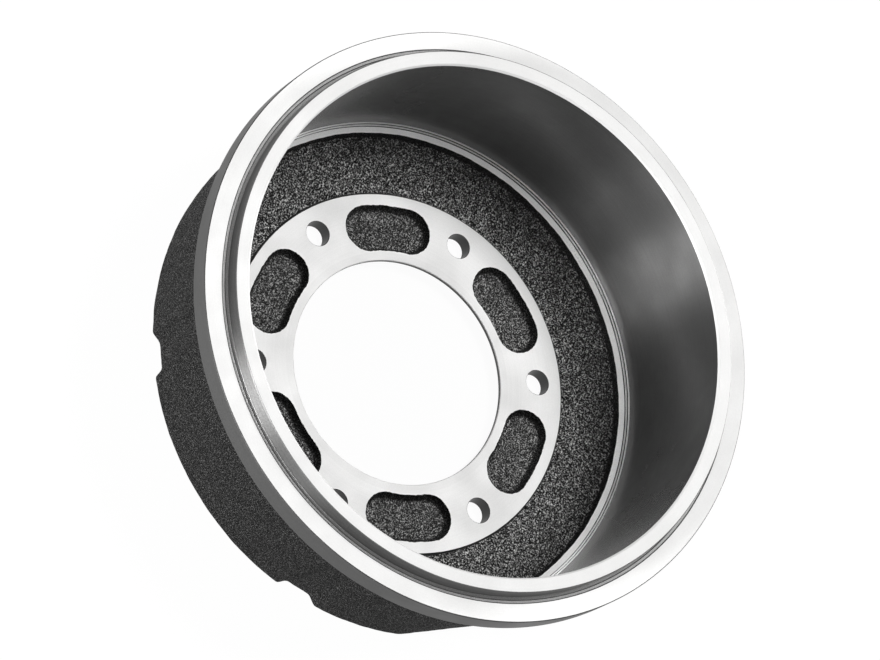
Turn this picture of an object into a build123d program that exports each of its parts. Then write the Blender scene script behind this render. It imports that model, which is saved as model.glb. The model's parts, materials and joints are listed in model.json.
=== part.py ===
"""Brake drum: one grey-iron casting, machined where it seats, rubs and bolts.

The drum stands on its outer mounting face with the mouth up. The origin is the
centre of that face and +Z runs along the axis towards the mouth. Millimetres.
Heights build up from the mounting face, and radii outward from the pilot bore
and from the friction surface.
"""

import os
from math import radians, tan

from build123d import *

# ---- Friction surface ------------------------------------------------------
braking_diameter = 320.0
barrel_depth = 108.3            # shoulder step to lip face, mouth chamfer included
mouth_chamfer = 1.1

# ---- Mouth: flange with a raised lip ---------------------------------------
lip_wall = 9.35                 # friction surface to the outside of the lip
lip_height = 9.9                # lip face above the flange face
foot_groove_width = 3.9         # turned relief round the foot of the lip
foot_groove_depth = 1.0
foot_step_share = 0.5           # share of the width where it steps up
foot_step_rise = 0.6            # share of the depth that the step rises
flange_land = 11.75             # flat of the flange outside the relief
flange_thickness = 15.5
edge_break = 0.5                # small chamfers on the turned outer edges

# ---- Hub flange, the flat middle of the web --------------------------------
hub_thickness = 10.5            # between the two machined faces
pilot_diameter = 145.0
pilot_land = 2.6                # depth of the centring land, chamfer included
pilot_chamfer = 0.4
pilot_relief = 6.0              # bevel that opens the bore behind the land
hub_face_relief = 1.4           # inner face stands this proud of the raw web
rear_face_diameter = 264.0      # machined outer face
rear_face_relief = 1.0          # it stands this proud of the raw back

# ---- Stud holes ------------------------------------------------------------
stud_count = 6
stud_circle_diameter = 199.0
stud_hole_diameter = 16.0
stud_hole_chamfer = 0.3

# ---- Kidney pockets, blind, cast into the inner face between the holes ------
pocket_bore_land = 6.4          # pilot bore to the pocket
pocket_width = 29.9             # measured radially, and across its round ends
pocket_rim = 7.1                # pocket to the edge of the hub face
pocket_half_angle = 9.1         # degrees, from its middle to the centre of an end
pocket_depth = 5.6
pocket_draft = 20.0             # degrees
pocket_floor_bevel = 1.6

# ---- Raw web and the turned shoulder inside the barrel ---------------------
web_rise = 4.6                  # raw web, from the hub face out to its drop
web_drop = 4.2                  # step from the web up to the shoulder
web_drop_draft = 0.8            # radial draft of that step
shoulder_width = 3.6
shoulder_fall = 1.2             # it falls this much towards the axis
groove_radial_step = 1.1        # each of the two steps from shoulder to barrel
groove_axial_step = 1.4

# ---- Outside of the casting ------------------------------------------------
shell_wall = 8.5                # friction surface to the rear corner, radially
rear_corner_height = 11.5
rear_corner_bevel = 1.0
wall_taper = 4.86               # degrees, the wall widens towards the flange
flange_root_bevel = 3.5

# ---- Flutes: shallow channels up the outside, in line with the stud holes --
flute_depth = 5.8               # at the rear corner
flute_floor_width = 17.2
flute_flank = 45.0              # degrees from radial
flute_corner_fillet = 5.0
flute_gap = 3.5                 # raw wall between its run-out and the flange root

# ---- Balancing flat, milled on the rear of the outside wall ----------------
balance_angle = 38.0            # degrees, counted from a stud hole
balance_depth = 4.2             # at the rear corner
balance_gap = 7.0               # raw wall between its run-out and the flange

# ---- Radii that follow -----------------------------------------------------
pilot_radius = pilot_diameter / 2
relief_radius = pilot_radius + pilot_relief
pocket_inner_radius = pilot_radius + pocket_bore_land
pocket_middle_radius = pocket_inner_radius + pocket_width / 2
pocket_outer_radius = pocket_inner_radius + pocket_width
hub_face_radius = pocket_outer_radius + pocket_rim
web_start_radius = hub_face_radius + hub_face_relief
rear_face_radius = rear_face_diameter / 2
stud_circle_radius = stud_circle_diameter / 2
stud_hole_radius = stud_hole_diameter / 2

braking_radius = braking_diameter / 2
groove_radius = braking_radius - groove_radial_step
shoulder_outer_radius = groove_radius - groove_radial_step
shoulder_inner_radius = shoulder_outer_radius - shoulder_width
web_end_radius = shoulder_inner_radius - web_drop_draft
lip_radius = braking_radius + lip_wall
foot_step_radius = lip_radius + foot_groove_width * foot_step_share
foot_groove_radius = lip_radius + foot_groove_width
flange_radius = foot_groove_radius + flange_land
rear_corner_radius = braking_radius + shell_wall

# ---- Heights that follow ---------------------------------------------------
pilot_land_z = hub_thickness - pilot_land
relief_z = pilot_land_z - pilot_relief
web_start_z = hub_thickness - hub_face_relief
web_end_z = web_start_z + web_rise
shoulder_inner_z = web_end_z + web_drop
shoulder_outer_z = shoulder_inner_z + shoulder_fall
groove_z = shoulder_outer_z + groove_axial_step
barrel_start_z = groove_z + groove_axial_step
lip_face_z = barrel_start_z + barrel_depth
flange_face_z = lip_face_z - lip_height
flange_back_z = flange_face_z - flange_thickness
foot_floor_z = flange_face_z - foot_groove_depth
foot_step_z = foot_floor_z + foot_groove_depth * foot_step_rise

# ---- Slopes that follow ----------------------------------------------------
wall_slope = tan(radians(wall_taper))
wall_top_radius = rear_corner_radius + wall_slope * (flange_back_z - rear_corner_height)
flange_root_z = flange_back_z - flange_root_bevel
flute_run = flange_root_z - flute_gap - rear_corner_height
flute_slope = wall_slope + flute_depth / flute_run
balance_top_z = flange_back_z - balance_gap
balance_run = balance_top_z - rear_corner_height
balance_slope = wall_slope + balance_depth / balance_run
balance_base_radius = rear_corner_radius - balance_depth

# ---- Pocket tool: an arc-shaped slot, drafted and bevelled at the floor -----
with BuildPart() as pocket_tool:
    with BuildSketch(Plane.XY.offset(hub_thickness)):
        with BuildLine() as pocket_spine:
            CenterArc((0, 0), pocket_middle_radius, -pocket_half_angle, 2 * pocket_half_angle)
        SlotArc(pocket_spine.edge(), height=pocket_width)
    extrude(amount=-pocket_depth)
    pocket_walls = pocket_tool.faces().filter_by(Axis.Z, reverse=True)
    draft(pocket_walls, Plane.XY.offset(hub_thickness), -pocket_draft)
    pocket_floor = pocket_tool.faces().sort_by(Axis.Z)[0]
    chamfer(pocket_floor.edges(), pocket_floor_bevel)

# ---- Flute tool: a channel that leans outward until it runs out of the wall -
flute_origin = (rear_corner_radius - flute_depth, 0, rear_corner_height)
flute_reach = 2 * flute_depth
flute_flare = flute_reach * tan(radians(flute_flank))
with BuildPart() as flute_tool:
    # The sketch's Y axis points at the drum's axis, so the channel opens to -Y.
    with BuildSketch(Plane(origin=flute_origin, x_dir=(0, 1, 0), z_dir=(flute_slope, 0, 1))) as channel:
        with BuildLine():
            Polyline(
                (-flute_floor_width / 2, 0),
                (flute_floor_width / 2, 0),
                (flute_floor_width / 2 + flute_flare, -flute_reach),
                (-flute_floor_width / 2 - flute_flare, -flute_reach),
                close=True,
            )
        make_face()
        floor_corners = channel.vertices().group_by(Axis.Y)[-1]
        fillet(floor_corners, flute_corner_fillet)
    extrude(amount=flange_back_z, both=True)
    split(bisect_by=Plane.XY.offset(flange_root_z), keep=Keep.BOTTOM)

# ---- The casting -----------------------------------------------------------
with BuildPart() as brake_drum:
    # Turned section, walked up the inside from the bore and down the outside.
    with BuildSketch(Plane.XZ) as section:
        with BuildLine():
            Polyline(
                (relief_radius, 0),
                (relief_radius, relief_z),
                (pilot_radius, pilot_land_z),
                (pilot_radius, hub_thickness - pilot_chamfer),
                (pilot_radius + pilot_chamfer, hub_thickness),
                (hub_face_radius, hub_thickness),
                (web_start_radius, web_start_z),
                (web_end_radius, web_end_z),
                (shoulder_inner_radius, shoulder_inner_z),
                (shoulder_outer_radius, shoulder_outer_z),
                (shoulder_outer_radius, groove_z),
                (groove_radius, groove_z),
                (groove_radius, barrel_start_z),
                (braking_radius, barrel_start_z),
                (braking_radius, lip_face_z - mouth_chamfer),
                (braking_radius + mouth_chamfer, lip_face_z),
                (lip_radius - edge_break, lip_face_z),
                (lip_radius, lip_face_z - edge_break),
                (lip_radius, foot_floor_z),
                (foot_step_radius, foot_floor_z),
                (foot_step_radius, foot_step_z),
                (foot_groove_radius, foot_step_z),
                (foot_groove_radius, flange_face_z),
                (flange_radius - edge_break, flange_face_z),
                (flange_radius, flange_face_z - edge_break),
                (flange_radius, flange_back_z + edge_break),
                (flange_radius - edge_break, flange_back_z),
                (wall_top_radius, flange_back_z),
                (rear_corner_radius, rear_corner_height),
                (rear_face_radius + rear_face_relief, rear_face_relief),
                (rear_face_radius, 0),
                close=True,
            )
        make_face()
        # Bevels that ease the flange root and the rear corner.
        flange_root = section.vertices().sort_by_distance((wall_top_radius, flange_back_z))[0]
        chamfer(flange_root, flange_root_bevel)
        rear_corner = section.vertices().sort_by_distance((rear_corner_radius, rear_corner_height))[0]
        chamfer(rear_corner, rear_corner_bevel)
    revolve(axis=Axis.Z)

    # Flutes in line with the stud holes.
    with PolarLocations(0, stud_count):
        add(flute_tool.part, mode=Mode.SUBTRACT)

    # Balancing flat: a leaning plane that takes most off the rear corner.
    with BuildSketch(Plane.XZ.rotated((0, 0, balance_angle))) as balance_section:
        with BuildLine():
            Polyline(
                (balance_base_radius - balance_slope * rear_corner_height, 0),
                (balance_base_radius + balance_slope * balance_run, balance_top_z),
                (flange_radius, balance_top_z),
                (flange_radius, 0),
                close=True,
            )
        make_face()
    extrude(amount=rear_corner_radius / 2, both=True, mode=Mode.SUBTRACT)

    # Kidney pockets, half a pitch from the stud holes.
    with PolarLocations(0, stud_count, start_angle=180 / stud_count):
        add(pocket_tool.part, mode=Mode.SUBTRACT)

    # Stud holes, square through the hub flange and eased at both faces.
    with Locations((0, 0, hub_thickness)):
        with PolarLocations(stud_circle_radius, stud_count):
            Hole(stud_hole_radius, depth=hub_thickness)
    circles = brake_drum.edges().filter_by(GeomType.CIRCLE)
    stud_rims = circles.filter_by(lambda edge: abs(edge.radius - stud_hole_radius) < 0.01)
    chamfer(stud_rims, stud_hole_chamfer)

brake_drum.part.label = "brake_drum"

os.makedirs("parts", exist_ok=True)
export_step(brake_drum.part, "parts/brake_drum.step")
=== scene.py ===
"""Brake drum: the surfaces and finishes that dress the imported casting.

Four closed pieces share a core line inside the metal and together stand for the
one casting: the turned ring, the raw shell, the raw web and the hub flange.
Sizes are in millimetres until a mesh is made, which is in metres.
"""

import json
import logging
from dataclasses import dataclass
from enum import Enum
from functools import cache
from math import cos, pi, radians, sin, tan

import bmesh
import bpy
import numpy as np
from mathutils import Matrix, Vector
from mathutils.geometry import delaunay_2d_cdt

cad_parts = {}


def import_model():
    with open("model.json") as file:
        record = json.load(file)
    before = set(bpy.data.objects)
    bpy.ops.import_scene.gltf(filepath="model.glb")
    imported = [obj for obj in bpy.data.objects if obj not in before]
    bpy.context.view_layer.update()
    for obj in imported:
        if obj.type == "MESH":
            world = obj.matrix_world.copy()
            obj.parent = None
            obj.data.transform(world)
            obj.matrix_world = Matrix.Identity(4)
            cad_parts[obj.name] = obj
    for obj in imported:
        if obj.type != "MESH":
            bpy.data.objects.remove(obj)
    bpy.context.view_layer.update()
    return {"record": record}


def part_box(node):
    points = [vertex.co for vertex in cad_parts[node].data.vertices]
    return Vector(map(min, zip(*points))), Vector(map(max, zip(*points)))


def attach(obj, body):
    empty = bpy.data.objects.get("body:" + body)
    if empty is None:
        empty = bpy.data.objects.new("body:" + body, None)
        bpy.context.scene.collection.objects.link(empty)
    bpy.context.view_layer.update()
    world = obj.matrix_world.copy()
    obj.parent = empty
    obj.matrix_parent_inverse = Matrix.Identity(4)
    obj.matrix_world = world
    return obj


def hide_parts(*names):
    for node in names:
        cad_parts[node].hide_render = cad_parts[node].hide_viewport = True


log = logging.getLogger("brake_drum")

Array = np.ndarray
Socket = bpy.types.NodeSocket
Pair = tuple[float, float]

NODE = "brake_drum"
BODY = "root"
MM = 0.001

# Where the pieces meet, as (radius, height): first on the surface, then inside the metal.
HUB_STEP = (117.3, 9.1)
SHOULDER_EDGE = (154.2, 17.9)
FLANGE_ROOT = (181.02, 104.8)
REAR_STEP = (133.0, 1.0)
CORE_RIM = (168.0, 104.8)
CORE_BARREL = (162.0, 24.0)
CORE_CORNER = (156.5, 13.5)
CORE_WEB = (133.0, 6.0)


# ---- Sizes ----


@dataclass(frozen=True)
class DrumSizes:
    """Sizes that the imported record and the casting's own box state, in millimetres."""

    pilot_radius: float
    hub_thickness: float
    stud_circle_radius: float
    stud_hole_radius: float
    stud_count: int
    braking_radius: float
    flange_radius: float
    lip_face_z: float

    @classmethod
    def read(cls, record: dict) -> "DrumSizes":
        """Takes the sizes from the record's mounts and the casting's box.

        Args:
            record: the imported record.

        Returns:
            The sizes, with the flange radius as the shortest half side of the box.
        """
        mounts = {mount["name"]: mount for mount in record["mounts"]}
        low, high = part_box(NODE)
        reach = min(-low[0], high[0], -low[1], high[1])
        studs = mounts["stud_holes"]
        return cls(
            pilot_radius=mounts["pilot_bore"]["dims"]["r_mm"],
            hub_thickness=studs["pos_m"][2] / MM,
            stud_circle_radius=studs["dims"]["pcd_mm"] / 2,
            stud_hole_radius=studs["dims"]["hole_r_mm"],
            stud_count=int(studs["dims"]["count"]),
            braking_radius=mounts["braking_surface"]["dims"]["r_mm"],
            flange_radius=reach / MM,
            lip_face_z=high[2] / MM,
        )


# ---- Surface arithmetic ----

# Large odd numbers that scramble a lattice point into a random value, and a seed's shift.
AXIS_MIXERS = np.array((73856093, 19349663, 83492791), dtype=np.uint64)
SEED_MIXER = 2654435761
FIRST_MIXER = np.uint64(6364136223846793005)
LAST_MIXER = np.uint64(1442695040888963407)
SEED_SHIFT = 0.37

# How the raw skin bites into a turned edge: height in mm, waves in a turn and phase.
BITE_WAVES = ((0.10, 23, 0.7), (0.07, 61, 2.1), (0.05, 149, 4.0))


def lattice_noise(points: Array, wavelength: float, seed: int) -> Array:
    """A smooth random field, about -1 to 1, that swells and dips over one wavelength.

    A lattice point's value is its whole numbers multiplied and shifted. A place blends the
    values round it by 6t^5 - 15t^4 + 10t^3 on each axis.

    Args:
        points: places in millimetres, last axis of length three.
        wavelength: in millimetres.
        seed: which of these fields it is.

    Returns:
        The field at each place.
    """
    scaled = points / wavelength + SEED_SHIFT * seed
    base = np.floor(scaled)
    t = scaled - base
    ease = t * t * t * (t * (t * 6.0 - 15.0) + 10.0)
    total = np.zeros(points.shape[:-1])
    for step in np.array(list(np.ndindex(2, 2, 2))):
        share = np.prod(np.where(step == 1, ease, 1.0 - ease), axis=-1)
        whole = (base + step).astype(np.int64).astype(np.uint64)
        mixed = np.bitwise_xor.reduce(whole * AXIS_MIXERS, axis=-1)
        mixed = (mixed ^ np.uint64(seed * SEED_MIXER)) * FIRST_MIXER
        mixed = (mixed ^ (mixed >> np.uint64(29))) * LAST_MIXER
        value = ((mixed >> np.uint64(40)) & np.uint64(0xFFFF)).astype(float) / 32767.5 - 1.0
        total += share * value
    return total


@dataclass(frozen=True)
class RawSkin:
    """Unevenness of a sand-cast surface: noises given by height and wavelength in mm, and seed."""

    waves: tuple[tuple[float, float, int], ...]

    def __call__(self, points: Array) -> Array:
        """Height of the skin over its mean, the sum of the noises."""
        return sum(height * lattice_noise(points, wave, seed) for height, wave, seed in self.waves)


def smooth_min(a: Array, b: Array, width: float) -> Array:
    """The lower field, less width/4 times the square of the share that |a - b| lacks of width."""
    near = np.maximum(width - np.abs(a - b), 0.0) / width
    return np.minimum(a, b) - near * near * width / 4.0


def smooth_step(x: Array, start: float, end: float) -> Array:
    """Rises from 0 at start to 1 at end by the curve 3t^2 - 2t^3."""
    t = np.clip((x - start) / (end - start), 0.0, 1.0)
    return t * t * (3.0 - 2.0 * t)


def curve(a: Array | float, p: Array | float, b: Array | float, s: Array) -> Array:
    """The curve (1-s)^2 a + 2s(1-s) p + s^2 b, which leaves a towards p and reaches b from p."""
    return (1 - s) ** 2 * a + 2 * s * (1 - s) * p + s * s * b


def shares(count: int) -> Array:
    """That many evenly spaced numbers from 0 to 1, as a column."""
    return np.linspace(0.0, 1.0, count)[:, None]


def ring_angles(count: int) -> Array:
    """Equally spaced angles of one full turn, in radians, without the repeated last one."""
    return np.arange(count) * (2.0 * pi / count)


def polar(radius: Array | float, angle: Array, height: Array | float) -> Array:
    """Points from cylinder coordinates: x = r cos a, y = r sin a, z as given."""
    radius, angle, height = np.broadcast_arrays(radius, angle, height)
    return np.stack((radius * np.cos(angle), radius * np.sin(angle), height), axis=-1)


def circle(radius: float, count: int, centre: Pair = (0.0, 0.0)) -> Array:
    """A circle of that many points, n x 2."""
    return np.array(centre) + polar(radius, ring_angles(count), 0.0)[:, :2]


def at_height(places: Array, height: float) -> Array:
    """Flat places, n x 2, put at one height, n x 3."""
    return np.column_stack((places, np.full(len(places), height)))


def roughened(points: Array, skin: RawSkin, fade: Array, facing: tuple[int, int, int]) -> Array:
    """Moves a grid that is closed along its columns along its normals, by the skin's height.

    A normal is the cross product of the central differences along columns and rows.

    Args:
        points: rows x columns x 3.
        skin: the unevenness.
        fade: share of it that each row takes.
        facing: rough direction of the normal in the middle of the first column.

    Returns:
        The moved points.
    """
    along = np.roll(points, -1, axis=1) - np.roll(points, 1, axis=1)
    normal = np.cross(along, np.gradient(points, axis=0))
    normal = normal / np.maximum(np.linalg.norm(normal, axis=-1, keepdims=True), 1e-9)
    side = np.sign(normal[len(points) // 2, 0] @ facing)
    return points + normal * (side * fade * skin(points))[..., None]


def turned(path: Array | tuple[Pair, ...], count: int) -> Array:
    """Places (radius, height) carried round the axis: a grid with a row for each of them."""
    path = np.array(path)
    return polar(path[:, 0:1], ring_angles(count)[None, :], path[:, 1:2])


def bitten_edge(place: Pair, slope: float, count: int) -> Array:
    """A turned edge that the raw skin bites into, along a slope, by the sum of three sine waves.

    Args:
        place: the edge's mean radius and height.
        slope: rise per millimetre outward.
        count: how many points it has.

    Returns:
        count x 3.
    """
    angle = ring_angles(count)
    bite = sum(height * np.sin(waves * angle + phase) for height, waves, phase in BITE_WAVES)
    return polar(place[0] + bite, angle, place[1] + bite * slope)


# ---- Finishes ----

SHADER = "Principled BSDF"

# Waves per metre in turned metal: fine and broad marks, smudges, and the torn grain.
FINE_MARKS = 1900.0
BROAD_MARKS = 420.0
SMUDGES = 34.0
TORN_GRAIN = 1500.0
BROAD_SHARE = 0.4
TORN_ROUGHNESS = 0.03

ACROSS_MARKS = 0.25  # turns, which lay the stretched highlight across the marks
OIL_ROUGHNESS = 0.25
OIL_INDEX = 1.72

# Raw skin: scale of clumps to grains, blotches per metre, and how grit rises from pit to top.
CLUMP_SCALE = 0.35
BLOTCHES = 60.0
PIT_TO_TOP = (0.37, 0.665)
TOP_SHARPNESS = 2.8

# Upward part of the normal over which painted shade darkens steep walls, and metres from the axis
# over which painted shade darkens the corner under the shoulder.
STEEP_TO_LEVEL = (0.82, 0.985)
SHOULDER_CORNER = (0.128, 0.153)


class NodeSheet:
    """The nodes of a material or of the world, with a short method for each kind in use."""

    def __init__(self, owner: bpy.types.ID) -> None:
        """Turns the owner's nodes on."""
        owner.use_nodes = True
        self.tree = owner.node_tree

    def node(self, kind: str, inputs: dict, **settings: object) -> bpy.types.Node:
        """Adds a node, sets its options and fills or joins its inputs.

        Args:
            kind: Blender's type name of the node.
            inputs: a value or another node's socket for each named or numbered input.
            settings: options of the node.

        Returns:
            The node.
        """
        made = self.tree.nodes.new(kind)
        for option, value in settings.items():
            setattr(made, option, value)
        for key, value in inputs.items():
            self.join(made.inputs[key], value)
        return made

    def join(self, socket: Socket, value: object) -> None:
        """Links a socket to another one, or sets it to a plain value."""
        if isinstance(value, bpy.types.NodeSocket):
            self.tree.links.new(value, socket)
        else:
            socket.default_value = value

    def set(self, name: str, **inputs: object) -> None:
        """Fills or joins the inputs of a node that is there already, underscores for spaces."""
        for key, value in inputs.items():
            self.join(self.tree.nodes[name].inputs[key.replace("_", " ")], value)

    def coordinate(self, kind: str) -> Socket:
        """The object's own coordinates, in metres, or its normal."""
        return self.node("ShaderNodeTexCoord", {}).outputs[kind]

    def maths(self, operation: str, a: object, b: object, clamp: bool = False) -> Socket:
        """One arithmetic step on two numbers."""
        step = self.node("ShaderNodeMath", {0: a, 1: b}, operation=operation, use_clamp=clamp)
        return step.outputs[0]

    def product(self, first: object, *others: object) -> Socket:
        """The numbers multiplied, from left to right."""
        for other in others:
            first = self.maths("MULTIPLY", first, other)
        return first

    def mixed(self, a: Socket, b: Socket, share: float) -> Socket:
        """The sum of 1 - share of a and the share of b."""
        return self.maths("ADD", self.product(a, 1.0 - share), self.product(b, share))

    def remap(self, value: Socket, old: Pair, new: Pair) -> Socket:
        """Carries one range onto another, clamped at its ends."""
        inputs = dict(enumerate((value, *old, *new)))
        return self.node("ShaderNodeMapRange", inputs, clamp=True).outputs[0]

    def varied(self, value: Socket, share: float, old: Pair = (0.3, 0.7)) -> Socket:
        """Carries a range onto the one from 1 - share to 1 + share."""
        return self.remap(value, old, (1.0 - share, 1.0 + share))

    def noise(self, place: Socket, scale: float, detail: float, rough: float = 0.5) -> Socket:
        """Noise in space, from 0 to 1, with scale in waves per metre."""
        inputs = {"Vector": place, "Scale": scale, "Detail": detail, "Roughness": rough}
        return self.node("ShaderNodeTexNoise", inputs).outputs[0]

    def lines(self, along: Socket, scale: float, detail: float) -> Socket:
        """Noise that varies along one number only, from 0 to 1, which makes parallel lines."""
        inputs = {"W": along, "Scale": scale, "Detail": detail, "Roughness": 0.6}
        return self.node("ShaderNodeTexNoise", inputs, noise_dimensions="1D").outputs[0]

    def height_of(self, vector: Socket) -> Socket:
        """The vector's part along Z."""
        return self.node("ShaderNodeSeparateXYZ", {0: vector}).outputs[2]

    def reach_of(self, place: Socket) -> Socket:
        """Distance of a place from the Z axis, the length of its parts along X and Y."""
        inputs = {0: place, 1: (1.0, 1.0, 0.0)}
        flat = self.node("ShaderNodeVectorMath", inputs, operation="MULTIPLY").outputs[0]
        return self.node("ShaderNodeVectorMath", {0: flat}, operation="LENGTH").outputs["Value"]

    def grey(self, value: Socket, tint: tuple[float, float, float]) -> Socket:
        """A grey of that value, tinted channel by channel."""
        parts = {channel: self.product(value, share) for channel, share in enumerate(tint)}
        return self.node("ShaderNodeCombineColor", parts).outputs[0]

    def bump(self, height: Socket, depth: float) -> Socket:
        """Tilts the normal by a height from 0 to 1, where 1 is the depth in millimetres."""
        inputs = {"Height": height, "Distance": depth * MM, "Strength": 1.0}
        return self.node("ShaderNodeBump", inputs).outputs[0]

    def seen(self) -> Socket:
        """1 for a ray from the camera, a mirror or glass, else 0: the sum of the three, clamped."""
        ray = self.node("ShaderNodeLightPath", {}).outputs
        first = self.maths("ADD", ray["Is Camera Ray"], ray["Is Glossy Ray"])
        return self.maths("ADD", first, ray["Is Transmission Ray"], clamp=True)


class Lay(Enum):
    """How the lathe's marks are spaced: outward on a face, or up the axis on a bore or rim."""

    FACED = "faced"
    BORED = "bored"


@dataclass(frozen=True)
class TurnedFinish:
    """Metal left by the lathe: fine rings that stretch the highlights across them, and smudges."""

    name: str
    lay: Lay
    tone: float
    metal: float = 1.0  # share that mirrors, the rest scatters as a torn surface does
    rough: float = 0.5
    stretch: float = 0.3  # of a highlight, across the marks
    depth: float = 0.006  # of the marks, in millimetres
    contrast: float = 0.03  # share by which marks and grain vary the tone
    smudge: float = 0.10  # share by which handling varies the tone
    oil: float = 0.0  # weight of a clear film of rust-proofing oil

    def dress(self, sheet: NodeSheet) -> None:
        """Builds the node tree.

        The tone is the product of the marks, the smudges and the torn grain. The smudges and
        the grain also vary the roughness.

        Args:
            sheet: the material's nodes.
        """
        place = sheet.coordinate("Object")
        across = sheet.height_of(place) if self.lay is Lay.BORED else sheet.reach_of(place)
        fine = sheet.lines(across, FINE_MARKS, 2.0)
        broad = sheet.lines(across, BROAD_MARKS, 3.0)
        marks = sheet.mixed(fine, broad, BROAD_SHARE)
        smudges = sheet.noise(place, SMUDGES, 4.0, 0.55)
        grain = sheet.noise(place, TORN_GRAIN, 1.0)
        tone = sheet.product(
            sheet.varied(marks, self.contrast, (0.25, 0.75)),
            sheet.remap(smudges, (0.3, 0.75), (1.0, 1.0 - self.smudge)),
            self.tone,
            sheet.varied(grain, self.contrast),
        )
        smudged = (self.rough * 0.9, self.rough * 1.15)
        rough = sheet.maths(
            "ADD",
            sheet.remap(smudges, (0.3, 0.7), smudged),
            sheet.remap(grain, (0.3, 0.7), (-TORN_ROUGHNESS, TORN_ROUGHNESS)),
        )
        tangent = sheet.node("ShaderNodeTangent", {}, direction_type="RADIAL", axis="Z")
        sheet.set(
            SHADER,
            Base_Color=sheet.grey(tone, (1.0, 0.997, 0.99)),
            Metallic=self.metal,
            Roughness=rough,
            Anisotropic=self.stretch,
            Anisotropic_Rotation=ACROSS_MARKS,
            Tangent=tangent.outputs[0],
            Coat_Weight=self.oil,
            Coat_Roughness=OIL_ROUGHNESS,
            Coat_IOR=OIL_INDEX,
            Normal=sheet.bump(marks, self.depth),
        )


@dataclass(frozen=True)
class CastFinish:
    """Raw sand-cast iron: fine dark grit whose grains are lighter on top, uneven in tone."""

    name: str
    dark: float  # tone in the pits
    light: float  # tone on top of the grains
    scale: float  # grains per metre
    depth: float  # of the grit, in millimetres
    clump: float  # share of the grit that is coarse clumps
    blotch: float  # share by which broad patches vary the tone
    gloss: float  # specular level
    shine: float = 0.0  # how metallic it is
    steep_painted_shade: float = 1.0  # tone left on steep walls by painted shade
    corner: float = 1.0  # tone left in the corner under the shoulder by painted shade, where the barrel wall's shadow falls

    def dress(self, sheet: NodeSheet) -> None:
        """Builds the node tree.

        The tone rises from dark to light by a power of the grit's height, times the blotches and
        the painted shade that darkens steep walls and the corner under the shoulder.

        Args:
            sheet: the material's nodes.
        """
        place = sheet.coordinate("Object")
        fine = sheet.noise(place, self.scale, 1.0, 0.6)
        coarse = sheet.noise(place, self.scale * CLUMP_SCALE, 2.0, 0.6)
        grit = sheet.mixed(fine, coarse, self.clump)
        blotches = sheet.noise(place, BLOTCHES, 5.0, 0.65)
        top = sheet.maths("POWER", sheet.remap(grit, PIT_TO_TOP, (0.0, 1.0)), TOP_SHARPNESS)
        tone = sheet.remap(top, (0.0, 1.0), (self.dark, self.light))
        tone = sheet.product(tone, sheet.varied(blotches, self.blotch))
        # Painted shade: the steeper the wall, the darker its tone.
        if self.steep_painted_shade < 1.0:
            upward = sheet.height_of(sheet.coordinate("Normal"))
            tone = sheet.product(tone, sheet.remap(upward, STEEP_TO_LEVEL, (self.steep_painted_shade, 1.0)))
        # Painted shade: the web darkens towards the corner under the shoulder, as in the barrel
        # wall's shadow.
        if self.corner < 1.0:
            reach = sheet.reach_of(place)
            tone = sheet.product(tone, sheet.remap(reach, SHOULDER_CORNER, (1.0, self.corner)))
        sheet.set(
            SHADER,
            Base_Color=sheet.grey(tone, (1.0, 0.995, 0.985)),
            Metallic=self.shine,
            Roughness=sheet.remap(top, (0.0, 1.0), (0.75, 0.45)),
            Specular_IOR_Level=self.gloss,
            Normal=sheet.bump(grit, self.depth),
        )


class Finish(Enum):
    """The drum's finishes. The mouth is the flange's face, and the crown is the lip's face."""

    FACED = TurnedFinish("turned_face", Lay.FACED, tone=0.84, metal=0.12, depth=0.004, smudge=0.07)
    BAND = TurnedFinish("turned_band", Lay.FACED, tone=0.80, metal=0.12, depth=0.004, smudge=0.05)
    MOUTH = TurnedFinish("turned_mouth", Lay.FACED, tone=0.58, metal=0.06, depth=0.004, smudge=0.04)
    CROWN = TurnedFinish("turned_crown", Lay.FACED, tone=0.46, metal=0.06, depth=0.004, smudge=0.04)
    SHOULDER = TurnedFinish(
        "turned_shoulder", Lay.FACED, tone=0.90, metal=0.22, rough=0.32, stretch=0.2, contrast=0.06
    )
    RELIEF = TurnedFinish(
        "turned_relief", Lay.FACED, tone=0.38, rough=0.6, stretch=1.0, contrast=0.20
    )
    RIM = TurnedFinish("turned_rim", Lay.BORED, tone=0.09, stretch=0.2, contrast=0.12)
    # Near-black painted shade on the step risers, on the flange's outer edge and on the thin strips
    # beside the relief's steps.
    RISER_PAINTED_SHADE = TurnedFinish(
        "turned_riser", Lay.BORED, tone=0.02, metal=0.3, rough=0.6, stretch=0.2, contrast=0.12
    )
    LIP = TurnedFinish("turned_lip", Lay.BORED, tone=0.12, rough=0.46, stretch=0.95, contrast=0.20)
    FRICTION = TurnedFinish(
        "friction_surface", Lay.BORED, tone=0.052, rough=0.56, stretch=1.0, depth=0.004,
        contrast=0.13, smudge=0.16, oil=1.0,
    )
    DRILLED = TurnedFinish(
        "drilled_bore", Lay.BORED, tone=0.05, rough=0.40, depth=0.010, contrast=0.14
    )
    # Painted shade: the web and the pockets darken their steep walls, and the web its corner under
    # the shoulder.
    WEB = CastFinish(
        "web_skin", dark=0.0, light=1.0, scale=1000.0, depth=2.4, clump=0.20, blotch=0.25,
        gloss=0.25, shine=0.20, steep_painted_shade=0.08, corner=0.62,
    )
    POCKET = CastFinish(
        "pocket_skin", dark=0.010, light=0.60, scale=1150.0, depth=1.4, clump=0.20, blotch=0.22,
        gloss=0.2, shine=0.15, steep_painted_shade=0.20,
    )
    SHELL = CastFinish(
        "shell_skin", dark=0.003, light=0.076, scale=1300.0, depth=1.3, clump=0.10, blotch=0.12,
        gloss=0.04,
    )


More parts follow.
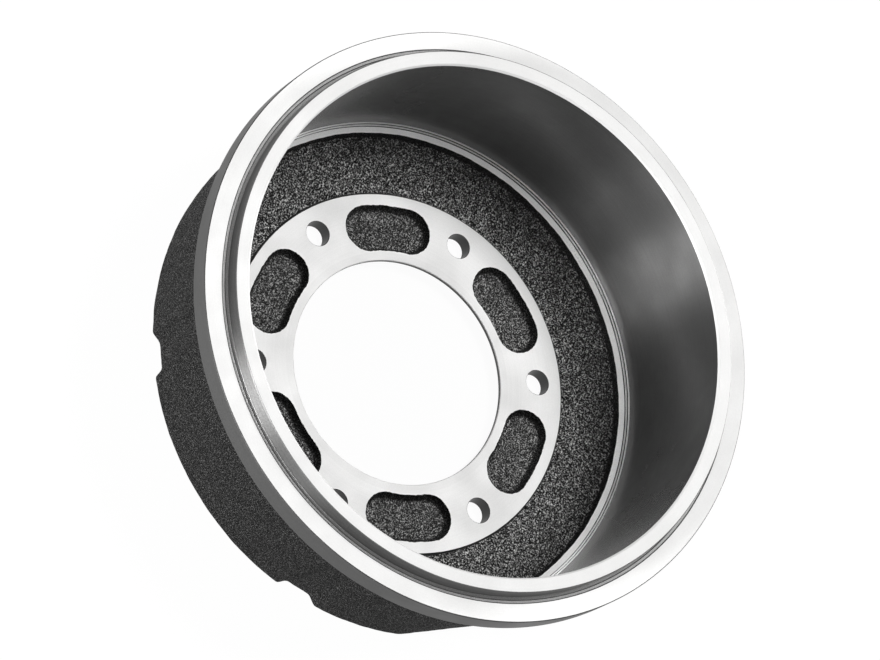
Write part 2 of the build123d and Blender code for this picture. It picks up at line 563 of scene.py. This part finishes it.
@cache
def material_of(finish: Finish) -> bpy.types.Material:
    """Makes a finish's material the first time that it is asked for.

    Args:
        finish: the finish.

    Returns:
        The material, the same one each time.
    """
    material = bpy.data.materials.new(finish.value.name)
    finish.value.dress(NodeSheet(material))
    return material


# ---- Meshes ----

WELD_DISTANCE = 0.000004
CUT_TOLERANCE = 1e-6
TEST_BATCH = 2048
NO_POINTS = np.empty((0, 3))

# Most of a span that a corner takes, and beyond a corner on a long span, one further point.
SPAN_SHARE = 0.45
LONG_SPAN = 2.0
HOLD = 0.12


def put_in_scene(name: str, data: bpy.types.ID) -> bpy.types.Object:
    """Makes an object of that data at the origin and links it to the scene."""
    made = bpy.data.objects.new(name, data)
    bpy.context.scene.collection.objects.link(made)
    return made


class MeshBuilder:
    """Gathers patches of surface in millimetres and welds them into one closed mesh in metres."""

    def __init__(self, name: str) -> None:
        """Starts an empty mesh of that name."""
        self.name = name
        self.points: list[Array] = []
        self.faces: list[Array] = []
        self.slots: list[Array] = []
        self.finishes: list[Finish] = []
        self.count = 0

    def slot(self, finish: Finish) -> int:
        """Index of a finish among the mesh's materials, which it joins when first used."""
        if finish not in self.finishes:
            self.finishes.append(finish)
        return self.finishes.index(finish)

    def add(self, points: Array, faces: Array, slots: Array | int) -> None:
        """Adds points with faces that count from the first of them.

        Args:
            points: places, last axis of length three.
            faces: m x 3 or m x 4 indices into these points.
            slots: material index, one for all or one for each face.
        """
        self.points.append(points.reshape(-1, 3))
        self.faces.append(faces + self.count)
        self.slots.append(np.broadcast_to(slots, (len(faces),)))
        self.count += len(self.points[-1])

    def band(self, points: Array, finishes: list[Finish]) -> None:
        """Adds a grid that closes on itself along its columns, one four-sided face for each cell.

        Args:
            points: rows x columns x 3.
            finishes: one for each row of cells, or a single one for all.
        """
        rows, columns = points.shape[:2]
        row = np.arange(rows - 1)[:, None] * columns
        column = np.arange(columns)[None, :]
        after = (column + 1) % columns
        cells = (row + column, row + after, row + columns + after, row + columns + column)
        slots = np.broadcast_to([self.slot(finish) for finish in finishes], (rows - 1,))
        self.add(points, np.stack(cells, axis=-1).reshape(-1, 4), np.repeat(slots, columns))

    def sheet(self, loops: list[Array], finish: Finish, loose: Array = NO_POINTS) -> None:
        """Fills a region by a Delaunay triangulation that keeps every loop as edges.

        A triangle stays if its centre is inside the first loop and in none of the others.

        Args:
            loops: the outline and then the holes, each n x 3.
            finish: the region's finish.
            loose: free points inside the region, n x 3.
        """
        edges: list[tuple[int, int]] = []
        start = 0
        for loop in loops:
            index = np.arange(len(loop)) + start
            edges += zip(index.tolist(), np.roll(index, -1).tolist())
            start += len(loop)
        points = np.concatenate((*loops, loose))
        places = [Vector(place) for place in points[:, :2].tolist()]
        made = delaunay_2d_cdt(places, edges, [], 0, CUT_TOLERANCE)
        corners = np.array(made[2])
        origin = np.array([source[0] for source in made[3]])
        centres = np.array([tuple(place) for place in made[0]])[corners].mean(axis=1)
        keep = inside_loop(centres, loops[0])
        for hole in loops[1:]:
            keep &= ~inside_loop(centres, hole)
        self.add(points, origin[corners[keep]], self.slot(finish))

    def build(self, sharp_above: float) -> None:
        """Welds the patches and makes the piece, which rides on the body and stands for the node.

        Args:
            sharp_above: angle between faces, in degrees, past which an edge stays sharp.
        """
        mesh = bpy.data.meshes.new(self.name)
        faces = [face for block in self.faces for face in block.tolist()]
        mesh.from_pydata((np.concatenate(self.points) * MM).tolist(), [], faces)
        slots = np.concatenate(self.slots).astype(np.int32)
        mesh.polygons.foreach_set("material_index", slots)
        shell = bmesh.new()
        shell.from_mesh(mesh)
        bmesh.ops.remove_doubles(shell, verts=shell.verts, dist=WELD_DISTANCE)
        bmesh.ops.recalc_face_normals(shell, faces=shell.faces)
        open_edges = sum(1 for edge in shell.edges if len(edge.link_faces) != 2)
        if open_edges:
            log.warning("%s has %d edges that are not closed", self.name, open_edges)
        shell.to_mesh(mesh)
        shell.free()
        mesh.polygons.foreach_set("use_smooth", np.ones(len(mesh.polygons), dtype=bool))
        mesh.set_sharp_from_angle(angle=radians(sharp_above))
        for finish in self.finishes:
            mesh.materials.append(material_of(finish))
        piece = put_in_scene(self.name, mesh)
        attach(piece, BODY)
        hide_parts(NODE)
        log.info("%s: %d triangles", self.name, sum(len(face) - 2 for face in faces))


def inside_loop(places: Array, loop: Array) -> Array:
    """Tells which places lie inside a loop, as a ray along +X crosses it an odd number of times.

    Args:
        places: n x 2 or n x 3, of which x and y count.
        loop: the same.

    Returns:
        One truth value for each place.
    """
    ax, ay = loop[:, 0], loop[:, 1]
    bx, by = np.roll(ax, -1), np.roll(ay, -1)
    rise = np.where(by == ay, 1e-12, by - ay)
    inside = np.zeros(len(places), dtype=bool)
    for start in range(0, len(places), TEST_BATCH):
        batch = slice(start, start + TEST_BATCH)
        x, y = places[batch, 0:1], places[batch, 1:2]
        spans = (ay > y) != (by > y)
        crossing = ax + (y - ay) / rise * (bx - ax)
        inside[batch] = (np.sum(spans & (x < crossing), axis=1) % 2) == 1
    return inside


# A corner of a turned profile: radius, height, rounding and the finish of the span after it.
Corner = tuple[float, float, float, Finish]


def rounded_profile(corners: list[Corner], steps: int = 3) -> tuple[Array, list[Finish]]:
    """Walks a closed profile and rounds its corners.

    A corner becomes the curve between the points of its two spans at the rounding distance. A
    long span has one more point just outside the curve, which keeps its shading flat.

    Args:
        corners: the profile in order.
        steps: spans that a rounded corner is made of.

    Returns:
        The points, n x 2, and the finish of the span that follows each.
    """
    places = np.array([corner[:2] for corner in corners])
    s = shares(steps + 1)
    points: list[Array] = []
    finishes: list[Finish] = []
    for index, (_, _, rounding, finish) in enumerate(corners):
        here = places[index]
        if rounding == 0.0:
            points.append(here[None, :])
            finishes.append(finish)
            continue
        before = places[index - 1] - here
        after = places[(index + 1) % len(corners)] - here
        back, ahead = np.linalg.norm(before), np.linalg.norm(after)
        a = here + before / back * min(rounding, SPAN_SHARE * back)
        b = here + after / ahead * min(rounding, SPAN_SHARE * ahead)
        if back > LONG_SPAN:
            points.append((a + before / back * HOLD)[None, :])
            finishes.append(corners[index - 1][3])
        points.append(curve(a, here, b, s))
        finishes += [finish] * (steps + 1)
        if ahead > LONG_SPAN:
            points.append((b + after / ahead * HOLD)[None, :])
            finishes.append(finish)
    return np.concatenate(points), finishes


# ---- The turned ring ----


@dataclass(frozen=True)
class TurnedRing:
    """The barrel, the mouth and the flange, all left by the lathe. Places are (radius, height)."""

    sizes: DrumSizes
    shoulder: tuple[Pair, Pair] = (SHOULDER_EDGE, (157.8, 19.1))
    groove: Pair = (158.9, 20.5)  # step halfway between the shoulder and the barrel
    barrel_foot: float = 21.9
    mouth_chamfer: float = 1.1
    lip_radius: float = 169.35
    foot: tuple[Pair, Pair] = ((171.3, 119.3), (173.25, 119.9))  # steps of the lip's relief
    flange: Pair = (120.3, 104.8)  # heights of its face and back
    edge_break: float = 0.5
    painted_shade_lines: Pair = (0.45, 0.55)  # width of the painted shade line beside each step of the relief
    columns: int = 720
    sharp_above: float = 34.0

    def profile(self) -> tuple[Array, list[Finish]]:
        """The closed section, up the barrel, over the mouth and down to the core line.

        Returns:
            The points and the finish of the span after each.
        """
        barrel, rim = self.sizes.braking_radius, self.sizes.flange_radius
        lip, top = self.lip_radius, self.sizes.lip_face_z
        (inner, inner_z), (outer, outer_z) = self.shoulder
        groove, groove_z = self.groove
        (step, floor_z), (land, step_z) = self.foot
        face_z, back_z = self.flange
        chamfer, broken = self.mouth_chamfer, self.edge_break
        step_shade_line, land_shade_line = self.painted_shade_lines
        # The riser finish paints shade on every step, on the flange's outer edge and on a thin
        # strip beside each step of the relief.
        corners = [
            (inner, inner_z, 0.0, Finish.SHOULDER),
            (outer, outer_z, 0.15, Finish.RISER_PAINTED_SHADE),
            (outer, groove_z, 0.2, Finish.SHOULDER),
            (groove, groove_z, 0.15, Finish.RISER_PAINTED_SHADE),
            (groove, self.barrel_foot, 0.2, Finish.SHOULDER),
            (barrel, self.barrel_foot, 0.15, Finish.FRICTION),
            (barrel, top - chamfer, 0.25, Finish.CROWN),
            (barrel + chamfer, top, 0.25, Finish.CROWN),
            (lip - broken, top, 0.15, Finish.LIP),
            (lip, top - broken, 0.2, Finish.LIP),
            (lip, floor_z, 0.25, Finish.RELIEF),
            (step, floor_z, 0.15, Finish.RISER_PAINTED_SHADE),
            (step, step_z, 0.15, Finish.RISER_PAINTED_SHADE),
            (step + step_shade_line, step_z, 0.0, Finish.RELIEF),
            (land, step_z, 0.12, Finish.RISER_PAINTED_SHADE),
            (land, face_z, 0.12, Finish.RISER_PAINTED_SHADE),
            (land + land_shade_line, face_z, 0.0, Finish.MOUTH),
            (rim - broken, face_z, 0.05, Finish.RISER_PAINTED_SHADE),
            (rim, face_z - broken, 0.05, Finish.RIM),
            (rim, back_z + broken, 0.2, Finish.RIM),
            (rim - broken, back_z, 0.2, Finish.FACED),
        ]
        hidden = (FLANGE_ROOT, CORE_RIM, CORE_BARREL, CORE_CORNER)
        return rounded_profile(corners + [(*place, 0.0, Finish.FACED) for place in hidden])

    def build(self) -> None:
        """Carries the profile round the axis, its first edge bitten into by the raw web."""
        section, finishes = self.profile()
        points = turned(section, self.columns)
        (inner, inner_z), (outer, outer_z) = self.shoulder
        slope = (outer_z - inner_z) / (outer - inner)
        points[0] = bitten_edge(self.shoulder[0], slope, self.columns)
        mesh = MeshBuilder("turned_ring")
        mesh.band(np.concatenate((points, points[:1])), finishes)
        mesh.build(self.sharp_above)


# ---- The raw shell ----


@dataclass(frozen=True)
class CastShell:
    """The raw outside of the drum: leaning wall, flutes, balancing flat, root and back.

    A reach is the distance from the axis at the height of the rear corner, and a slope is the
    run outward for each millimetre above it.
    """

    sizes: DrumSizes
    corner: Pair = (168.5, 11.5)
    corner_round: float = 1.6
    wall_lean: float = 4.86  # degrees outward
    root: Pair = FLANGE_ROOT
    root_round: float = 4.6
    back: Pair = REAR_STEP
    flute_floor: tuple[float, float, float] = (162.7, 17.2, 0.1522)  # reach, width, slope
    flute_blends: Pair = (2.1, 1.3)  # roundings at its floor and at its edges
    balance: tuple[float, float, float] = (38.0, 164.3, 0.1337)  # degrees, reach, slope
    balance_blend: float = 0.35
    mould_turn: float = 0.5  # degrees by which the moulded flutes stand off the drilled holes
    columns: int = 880
    wall_rows: int = 66
    root_rows: int = 9
    bend_rows: int = 6
    back_rows: int = 20
    fade_rows: Pair = (5.0, 3.0)  # rows over which the skin grows from the turned edges
    skin: RawSkin = RawSkin(((0.16, 14.0, 3), (0.10, 6.0, 14), (0.07, 3.0, 26)))
    sharp_above: float = 60.0

    def wall_radius(self, angle: Array, height: Array) -> Array:
        """Distance of the wall from the axis at each angle and height.

        The cone r = corner + tan(lean) x height above it, cut by flutes and flat. On a ray at
        angle a from a flute's middle, its floor lies at reach / cos a and its 45 degree flank at
        (reach - half width) / (cos a - |sin a|). The flat lies at its reach / cos a.

        Args:
            angle: radians round the axis.
            height: millimetres.

        Returns:
            The radius, broadcast over both.
        """
        least = 0.05
        above = height - self.corner[1]
        radius = self.corner[0] + tan(radians(self.wall_lean)) * above + 0.0 * angle
        floor_radius, width, slope = self.flute_floor
        pitch = 2.0 * pi / self.sizes.stud_count
        off = np.abs((angle - radians(self.mould_turn) + pitch / 2) % pitch - pitch / 2)
        reach = floor_radius + slope * above
        flank = (reach - width / 2) / np.maximum(np.cos(off) - np.sin(off), least)
        inside, edge = self.flute_blends
        flute = -smooth_min(-reach / np.cos(off), -flank, inside)
        radius = smooth_min(radius, flute, edge)
        middle, distance, lean = self.balance
        turn = (angle - radians(middle) + pi) % (2.0 * pi) - pi
        flat = (distance + lean * above) / np.maximum(np.cos(turn), least)
        return smooth_min(radius, flat, self.balance_blend)

    def corner_height(self, angle: Array) -> Array:
        """Height at which the wall meets the sloping back, by repeating that step eight times.

        Args:
            angle: radians round the axis.

        Returns:
            The height at each angle.
        """
        slope = self.back_slope()
        height = np.full_like(angle, self.corner[1])
        for _ in range(8):
            height = self.back[1] + (self.wall_radius(angle, height) - self.back[0]) * slope
        return height

    def back_slope(self) -> float:
        """Rise of the raw back per millimetre outward."""
        return (self.corner[1] - self.back[1]) / (self.corner[0] - self.back[0])

    def surface(self) -> Array:
        """The outside: a curve from the flange's back, the wall, the rear corner and the back.

        Returns:
            rows x columns x 3.
        """
        angle = ring_angles(self.columns)[None, :]
        slope = self.back_slope()
        low = self.corner_height(angle)
        start_r, start_z = self.root
        end_z = np.full_like(angle, start_z - self.root_round)
        s = shares(self.root_rows)
        crown_r = self.wall_radius(angle, np.full_like(angle, start_z))
        root_r = curve(start_r, crown_r, self.wall_radius(angle, end_z), s)
        root_z = curve(start_z, start_z, end_z, s)
        wall_z = end_z + (low + self.corner_round - end_z) * shares(self.wall_rows)[1:]
        wall_r = self.wall_radius(angle, wall_z)
        low_r = self.back[0] + (low - self.back[1]) / slope
        turn_r = low_r - self.corner_round
        turn_z = low - self.corner_round * slope
        t = shares(self.bend_rows)[1:]
        bend_r = curve(wall_r[-1:], low_r, turn_r, t)
        bend_z = curve(wall_z[-1:], low, turn_z, t)
        inward = shares(self.back_rows)[1:]
        back_r = turn_r + (self.back[0] - turn_r) * inward
        back_z = turn_z + (self.back[1] - turn_z) * inward
        radius = np.concatenate((root_r, wall_r, bend_r, back_r))
        height = np.concatenate((root_z, wall_z, bend_z, back_z))
        return polar(radius, angle, height)

    def build(self) -> None:
        """Roughens the surface, less towards the turned edges, and closes it on the core line."""
        outside = self.surface()
        row = np.arange(len(outside))[:, None]
        first, last = self.fade_rows
        fade = smooth_step(row, 0.0, first) * smooth_step(row[::-1], 0.0, last)
        outside = roughened(outside, self.skin, fade, (1, 0, 0))
        core = turned((CORE_WEB, CORE_CORNER, CORE_BARREL, CORE_RIM), self.columns)
        mesh = MeshBuilder("cast_shell")
        mesh.band(np.concatenate((outside, core, outside[:1])), [Finish.SHELL])
        mesh.build(self.sharp_above)


# ---- The raw web ----


@dataclass(frozen=True)
class CastWeb:
    """The raw dished web inside, from under the hub face to the drop below the shoulder."""

    start: Pair = HUB_STEP
    foot: Pair = (153.4, 13.7)
    top: Pair = SHOULDER_EDGE
    shoulder_slope: float = 0.3333
    tuck: float = 0.8  # how far it goes on under the hub face
    foot_round: float = 1.8
    columns: int = 960
    flat_rows: int = 34
    bend_rows: int = 5
    drop_rows: int = 4
    fade_rows: float = 2.0
    skin: RawSkin = RawSkin(((0.30, 14.0, 7), (0.26, 6.0, 18), (0.24, 3.0, 30)))
    sharp_above: float = 60.0

    def build(self) -> None:
        """Carries flat, rounded foot and drop round the axis, roughened and closed on the core."""
        (start_r, start_z), (foot_r, foot_z), (top_r, top_z) = self.start, self.foot, self.top
        rise = (foot_z - start_z) / (foot_r - start_r)
        run = np.linspace(start_r - self.tuck, foot_r - self.foot_round, self.flat_rows)
        flat = np.column_stack((run, start_z + (run - start_r) * rise))
        foot = np.array(self.foot)
        up = np.array((top_r - foot_r, top_z - foot_z)) / np.hypot(top_r - foot_r, top_z - foot_z)
        end = foot + up * self.foot_round
        bend = curve(flat[-1], foot, end, shares(self.bend_rows)[1:])
        drop = end + (np.array(self.top) - end) * shares(self.drop_rows)[1:]
        points = turned(np.concatenate((flat, bend, drop)), self.columns)
        row = np.arange(len(points))[:, None]
        fade = smooth_step(row[::-1], 0.0, self.fade_rows)
        points = roughened(points, self.skin, fade, (0, 0, 1))
        points[-1] = bitten_edge(self.top, self.shoulder_slope, self.columns)
        inner = (self.start[0] - self.tuck, CORE_WEB[1])
        core = turned((CORE_CORNER, CORE_WEB, inner), self.columns)
        mesh = MeshBuilder("cast_web")
        mesh.band(np.concatenate((points, core, points[:1])), [Finish.WEB])
        mesh.build(self.sharp_above)


# ---- The hub flange ----


@dataclass(frozen=True)
class KidneyPocket:
    """A blind kidney-shaped pocket cast into the hub face, centred on one angle."""

    middle: float = 93.85  # radius of the arc that it follows
    width: float = 29.9  # across it, and across its round ends
    half_angle: float = 9.1  # degrees from its middle to the centre of an end
    depth: float = 5.6
    draft: float = 20.0  # degrees
    floor_round: float = 2.4
    skin: RawSkin = RawSkin(((0.16, 14.0, 13), (0.16, 6.0, 24), (0.12, 3.0, 36)))
    skin_depth: float = 1.4  # below the hub face, where the skin is at its full height
    mouth: RawSkin = RawSkin(((0.16, 6.0, 31), (0.22, 1.3, 37)))
    grid: Pair = (1.0, 0.9)  # spacing of the floor's points, along a line and between lines
    clearance: float = 0.8  # from them to the floor's edge

    def outline(self) -> Array:
        """The mouth of the pocket as a loop round the +X axis, with its outward normals.

        Half of it is the outer arc about the drum's axis, a half circle round the end and the
        inner arc. The other half is its mirror image.

        Returns:
            n x 4: x, y and the normal's x, y.
        """
        end = radians(self.half_angle)
        across = self.width / 2
        centre = (self.middle * cos(end), self.middle * sin(end))
        outer = np.linspace(0.0, end, 40, endpoint=False)
        turn = np.linspace(end, end + pi, 110, endpoint=False)
        inner = np.linspace(end, 0.0, 28)
        arcs = (
            ((0.0, 0.0), self.middle + across, outer, 1.0),
            (centre, across, turn, 1.0),
            ((0.0, 0.0), self.middle - across, inner, -1.0),
        )
        parts = []
        for place, radius, angle, facing in arcs:
            out = np.column_stack((np.cos(angle), np.sin(angle)))
            parts.append(np.column_stack((place + radius * out, facing * out)))
        half = np.concatenate(parts)
        return np.concatenate((half, (half * (1, -1, 1, -1))[-2:0:-1]))

    def rings(self, turn: float, top: float) -> Array:
        """The pocket's wall as loops that step inward and down from the hub face.

        Straight down the draft, then a curve onto the floor. Each point is its outline point
        less the inward run times the outward normal, roughened below the face.

        Args:
            turn: angle of the pocket's middle, in radians.
            top: height of the hub face.

        Returns:
            rows x points x 3.
        """
        lean = tan(radians(self.draft))
        straight = self.depth - self.floor_round
        wall = shares(6) * np.array((straight * lean, straight))
        foot = np.array((self.depth * lean, self.depth))
        floor = curve(wall[-1], foot, foot + (self.floor_round, 0.0), shares(7)[1:])
        path = np.concatenate((wall, floor))
        outline = self.outline()
        spin = np.array(((cos(turn), sin(turn)), (-sin(turn), cos(turn))))
        loop, normal = outline[:, :2] @ spin, outline[:, 2:] @ spin
        inward = path[:, 0:1] + self.mouth(at_height(loop, top))
        flat = loop - inward[..., None] * normal
        height = top - np.repeat(path[:, 1:2], len(loop), axis=1)
        points = np.concatenate((flat, height[..., None]), axis=-1)
        rough = smooth_step(path[:, 1:2], 0.0, self.skin_depth) * self.skin(points)
        slope = np.gradient(path, axis=0)
        slope = slope / np.linalg.norm(slope, axis=1, keepdims=True)
        points[..., :2] -= (rough * slope[:, 1:2])[..., None] * normal
        points[..., 2] += rough * slope[:, 0:1]
        return points

    def floor_points(self, loop: Array, height: float) -> Array:
        """Free points on the floor: a staggered grid that stays off the loop, roughened.

        Args:
            loop: the loop round the floor, n x 2.
            height: mean height of the floor.

        Returns:
            n x 3.
        """
        (low_x, low_y), (high_x, high_y) = loop.min(axis=0), loop.max(axis=0)
        pitch, line = self.grid
        x, y = np.meshgrid(np.arange(low_x, high_x, pitch), np.arange(low_y, high_y, line))
        x = x + pitch / 2 * (np.arange(x.shape[0])[:, None] % 2)
        places = np.column_stack((x.ravel(), y.ravel()))
        places = places[inside_loop(places, loop)]
        gap = np.linalg.norm(places[:, None, :] - loop[None, :, :], axis=-1).min(axis=1)
        floor = at_height(places[gap > self.clearance], height)
        floor[:, 2] += self.skin(floor)
        return floor


@dataclass(frozen=True)
class HubFlange:
    """The machined middle: hub face, pilot bore, stud holes, kidney pockets and rear face."""

    sizes: DrumSizes
    face_radius: float = 115.9
    band_radius: float = 77.9  # of the narrow band round the bore, faced by a separate pass
    step: Pair = HUB_STEP
    land: float = 2.6  # depth of the pilot land
    pilot_chamfer: float = 0.4
    relief: Pair = (78.5, 1.9)  # where the opened bore behind the land begins
    rear_radius: float = 132.0
    rear_step: Pair = REAR_STEP
    hole_chamfer: float = 0.3
    pocket: KidneyPocket = KidneyPocket()
    columns: int = 720
    hole_columns: int = 64
    sharp_above: float = 32.0

    def edge_bands(self, mesh: MeshBuilder) -> None:
        """Adds the outer edge down to the rear face, and the pilot bore.

        Args:
            mesh: the piece being gathered.
        """
        top, pilot, ease = self.sizes.hub_thickness, self.sizes.pilot_radius, self.pilot_chamfer
        edge = ((self.face_radius, top), self.step, (self.step[0], CORE_WEB[1]))
        rear = (CORE_WEB, self.rear_step, (self.rear_radius, 0.0))
        mouth = ((self.band_radius, top), (pilot + ease, top), (pilot, top - ease))
        bore = ((pilot, top - self.land), self.relief, (self.relief[0], 0.0))
        outside, inside = turned(edge + rear, self.columns), turned(mouth + bore, self.columns)
        mesh.band(outside, [Finish.RIM] * 3 + [Finish.FACED] * 2)
        mesh.band(inside, [Finish.BAND] * 2 + [Finish.RIM] * 3)

    def stud_hole(self, mesh: MeshBuilder, centre: Pair) -> Array:
        """Adds one hole's wall with an eased edge at each face.

        Args:
            mesh: the piece being gathered.
            centre: the hole's centre.

        Returns:
            The loop of its rim, n x 2.
        """
        top, bore, ease = self.sizes.hub_thickness, self.sizes.stud_hole_radius, self.hole_chamfer
        path = ((bore + ease, top), (bore, top - ease), (bore, ease), (bore + ease, 0.0))
        rows = [at_height(circle(reach, self.hole_columns, centre), z) for reach, z in path]
        mesh.band(np.stack(rows), [Finish.RIM, Finish.DRILLED, Finish.RIM])
        return rows[0][:, :2]

    def build(self) -> None:
        """Gathers the edges, the stud holes and the pockets, and then both faces."""
        s = self.sizes
        top = s.hub_thickness
        mesh = MeshBuilder("hub_flange")
        self.edge_bands(mesh)
        pitch = 2.0 * pi / s.stud_count
        rims: list[Array] = []
        mouths: list[Array] = []
        for k in range(s.stud_count):
            centre = s.stud_circle_radius * cos(k * pitch), s.stud_circle_radius * sin(k * pitch)
            rims.append(self.stud_hole(mesh, centre))
            rings = self.pocket.rings((k + 0.5) * pitch, top)
            mouths.append(rings[0, :, :2])
            mesh.band(rings, [Finish.POCKET])
            loose = self.pocket.floor_points(rings[-1, :, :2], top - self.pocket.depth)
            mesh.sheet([rings[-1]], Finish.POCKET, loose)
        front = [circle(self.face_radius, self.columns), circle(self.band_radius, self.columns)]
        rear = [circle(self.rear_radius, self.columns), circle(self.relief[0], self.columns)]
        mesh.sheet([at_height(loop, top) for loop in (*front, *rims, *mouths)], Finish.FACED)
        mesh.sheet([at_height(loop, 0.0) for loop in (*rear, *rims)], Finish.FACED)
        mesh.build(self.sharp_above)


# ---- Surroundings ----


def direction(azimuth: float, elevation: float) -> Vector:
    """Unit vector at that azimuth from +X and height above the horizon, both in degrees."""
    a, e = radians(azimuth), radians(elevation)
    return Vector((cos(e) * cos(a), cos(e) * sin(a), sin(e)))


@dataclass(frozen=True)
class Viewpoint:
    """Where the camera stands: millimetres and degrees round the point it aims at, its aim."""

    aim: tuple[float, float, float] = (-41.622, 12.866, 10.5)
    azimuth: float = -29.3366  # from +X
    elevation: float = 56.8204
    roll: float = -59.3286
    distance: float = 2895.95
    lens: float = 189.1
    sensor: float = 36.0
    clip: Pair = (0.1, 60.0)  # nearest and farthest, in metres

    def place(self) -> None:
        """Makes the scene's camera.

        Its axes are the direction back from the aim, and the upright and its right turned by
        the roll.
        """
        data = bpy.data.cameras.new("camera")
        data.lens = self.lens
        data.sensor_width = self.sensor
        data.clip_start, data.clip_end = self.clip
        camera = put_in_scene("camera", data)
        bpy.context.scene.camera = camera
        back = direction(self.azimuth, self.elevation)
        upright = (Vector((0.0, 0.0, 1.0)) - back * back.z).normalized()
        side = upright.cross(back)
        turn = radians(self.roll)
        up = upright * cos(turn) + side * sin(turn)
        spin = Matrix((up.cross(back), up, back)).transposed().to_4x4()
        spot = Vector(self.aim) * MM + back * self.distance * MM
        camera.matrix_world = Matrix.Translation(spot) @ spin


@dataclass(frozen=True)
class SoftBox:
    """A studio lamp: a flat panel that faces the drum, in degrees, metres and watts."""

    name: str
    azimuth: float
    elevation: float
    distance: float
    width: float
    height: float
    power: float
    target: tuple[float, float, float] = (0.0, 0.0, 0.06)

    def place(self) -> None:
        """Makes the lamp and turns it to its target."""
        data = bpy.data.lights.new(self.name, "AREA")
        data.shape = "RECTANGLE"
        data.size = self.width
        data.size_y = self.height
        data.energy = self.power
        lamp = put_in_scene(self.name, data)
        towards = direction(self.azimuth, self.elevation)
        lamp.location = Vector(self.target) + towards * self.distance
        lamp.rotation_mode = "QUATERNION"
        lamp.rotation_quaternion = towards.to_track_quat("Z", "Y")
        log.info("lamp %s placed", self.name)


@dataclass(frozen=True)
class Studio:
    """The pale floor, the pale surroundings and the lamps."""

    fill: float = 0.05  # strength of the surroundings as light on rough surfaces
    floor_glow: float = 0.96  # share of the floor that is plain white to the eye and to mirrors
    floor_tone: float = 0.95  # of its matt share, which takes the shadow
    floor_reach: float = 9.0  # half side, in metres
    floor_height: float = -0.0001
    lamps: tuple[SoftBox, ...] = (
        SoftBox("main", 155.0, 70.0, 3.5, 1.2, 1.2, 80.0),
        SoftBox("back", 136.0, 12.0, 4.0, 1.5, 0.9, 270.0),
        SoftBox("strip", -46.0, 16.5, 4.0, 1.5, 0.9, 310.0),
        SoftBox("panel", 214.0, 53.0, 2.4, 1.4, 1.6, 4.2),
        SoftBox("side", -16.0, 20.0, 2.2, 0.5, 0.6, 16.0),
    )

    def build(self) -> None:
        """Makes the world, the floor and the lamps."""
        self.world()
        self.floor()
        for lamp in self.lamps:
            lamp.place()

    def world(self) -> None:
        """White of strength 1 to the eye and to mirrors, weaker as light on rough surfaces."""
        world = bpy.data.worlds.new("surroundings")
        sheet = NodeSheet(world)
        strength = sheet.remap(sheet.seen(), (0.0, 1.0), (self.fill, 1.0))
        sheet.set("Background", Color=(1.0, 1.0, 1.0, 1.0), Strength=strength)
        bpy.context.scene.world = world

    def floor(self) -> None:
        """A flat square under the drum that mixes plain white with a matt white."""
        reach, low, tone = self.floor_reach, self.floor_height, self.floor_tone
        mesh = bpy.data.meshes.new("floor")
        corners = [(-reach, -reach), (reach, -reach), (reach, reach), (-reach, reach)]
        mesh.from_pydata([(x, y, low) for x, y in corners], [], [(0, 1, 2, 3)])
        floor = put_in_scene("floor", mesh)
        white = bpy.data.materials.new("floor_white")
        sheet = NodeSheet(white)
        sheet.tree.nodes.remove(sheet.tree.nodes[SHADER])
        matt = sheet.node("ShaderNodeBsdfDiffuse", {"Color": (tone, tone, tone, 1.0)}).outputs[0]
        glow = sheet.node("ShaderNodeEmission", {"Strength": sheet.seen()}).outputs[0]
        mixed = sheet.node("ShaderNodeMixShader", {0: self.floor_glow, 1: matt, 2: glow})
        sheet.set("Material Output", Surface=mixed.outputs[0])
        mesh.materials.append(white)


# ---- The whole drum ----


def main() -> None:
    """Loads the frame, places the camera and the studio, and builds the four pieces."""
    logging.basicConfig(level=logging.INFO, format="%(name)s: %(message)s")
    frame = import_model()
    bpy.context.scene.view_settings.view_transform = "Standard"
    Viewpoint().place()
    Studio().build()
    sizes = DrumSizes.read(frame["record"])
    parts = (TurnedRing(sizes), CastShell(sizes), CastWeb(), HubFlange(sizes))
    for part in parts:
        part.build()
    log.info("%d pieces stand for the casting", len(parts))


if __name__ == "__main__":
    main()
